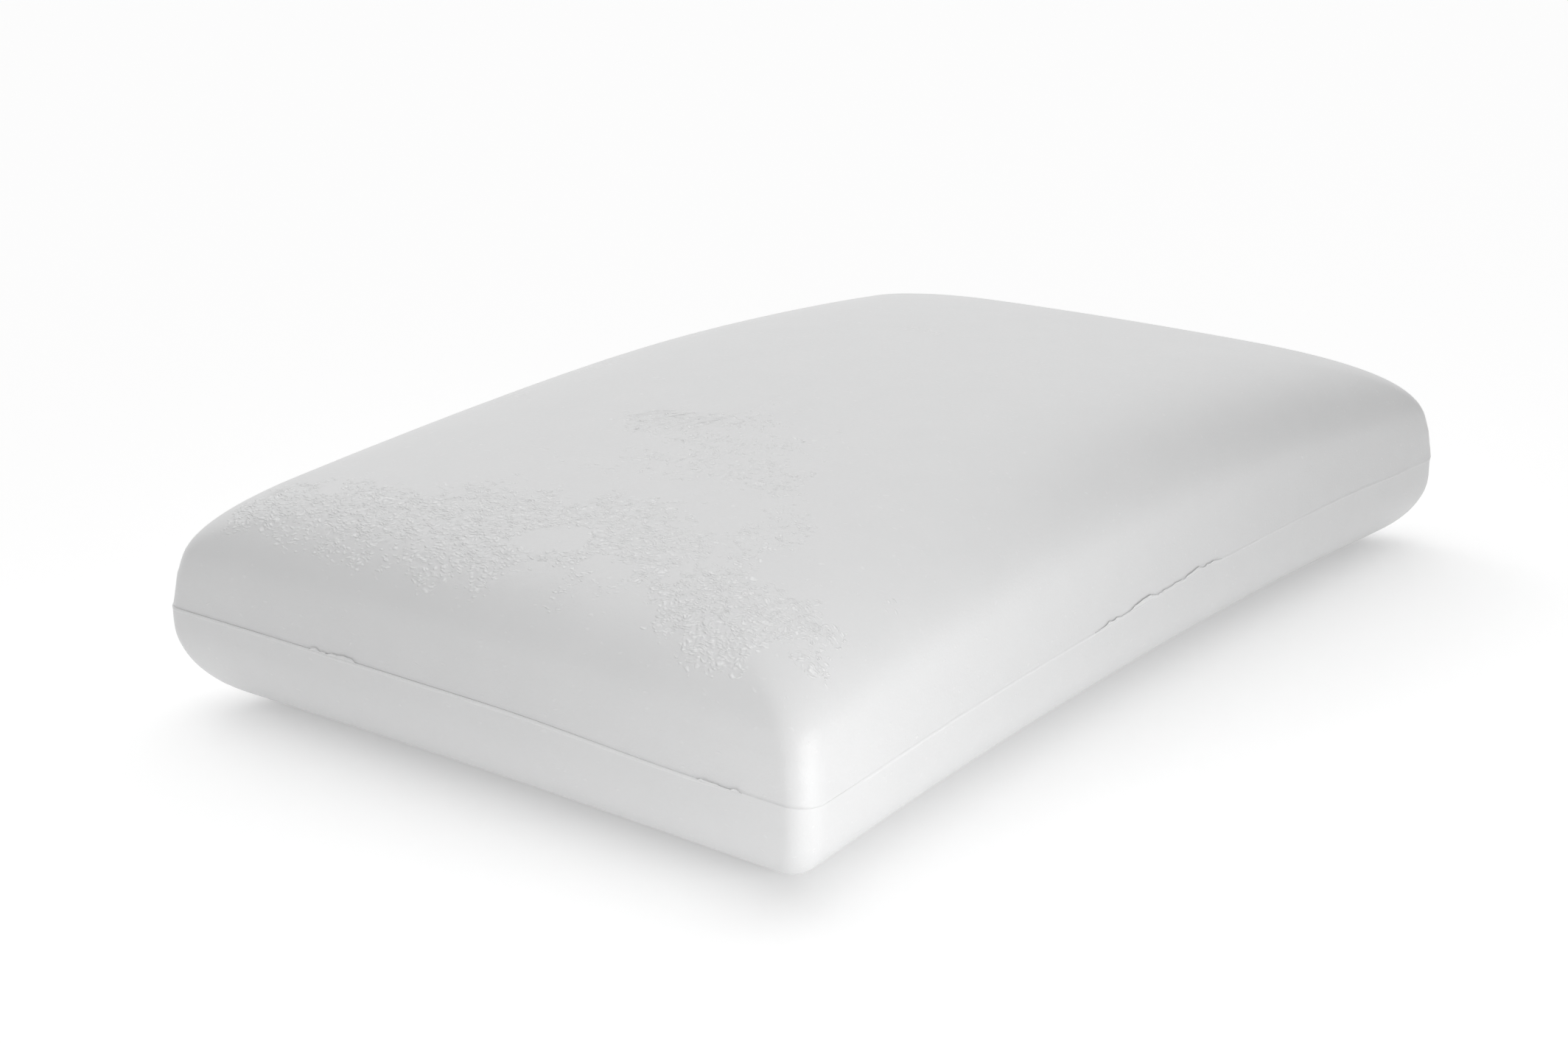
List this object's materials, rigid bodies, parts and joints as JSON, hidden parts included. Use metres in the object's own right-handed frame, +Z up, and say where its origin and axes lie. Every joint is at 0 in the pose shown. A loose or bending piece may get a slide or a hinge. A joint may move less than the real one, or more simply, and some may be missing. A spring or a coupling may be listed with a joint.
{
  "type": "moulded memory foam pillow",
  "caption": "Bare moulded memory-foam pillow block with a crowned top, rolled shoulders, a parting line and a flat underside.",
  "frame": {"origin": "middle of the flat underside, on the surface that the block lies on", "axes": "+X along the block's length, +Y across its width, +Z up through the crown"},
  "size_m": [0.6394, 0.3978, 0.14],
  "materials": {
    "foam_skin": "satin",
    "foam_flash": "matte",
    "memory_foam": "matte",
    "support_foam": "matte",
    "foam_bond": "satin"
  },
  "bodies": {
    "base": {"lower_skin": "foam_skin", "support_layer": "support_foam", "bond_film": "foam_bond", "parting_bead": "foam_flash", "side_flash": "foam_flash", "end_flash": "foam_flash"},
    "crown": {"upper_skin": "foam_skin", "comfort_layer": "memory_foam"}
  },
  "joints": [
    {"name": "press", "type": "slide", "parent": "base", "child": "crown", "axis": [0, 0, -1], "range_m": [0, 0.035], "stiffness_N_per_m": 1500, "springref_m": -0.008, "deforming": ["upper_skin", "comfort_layer"]}
  ]
}
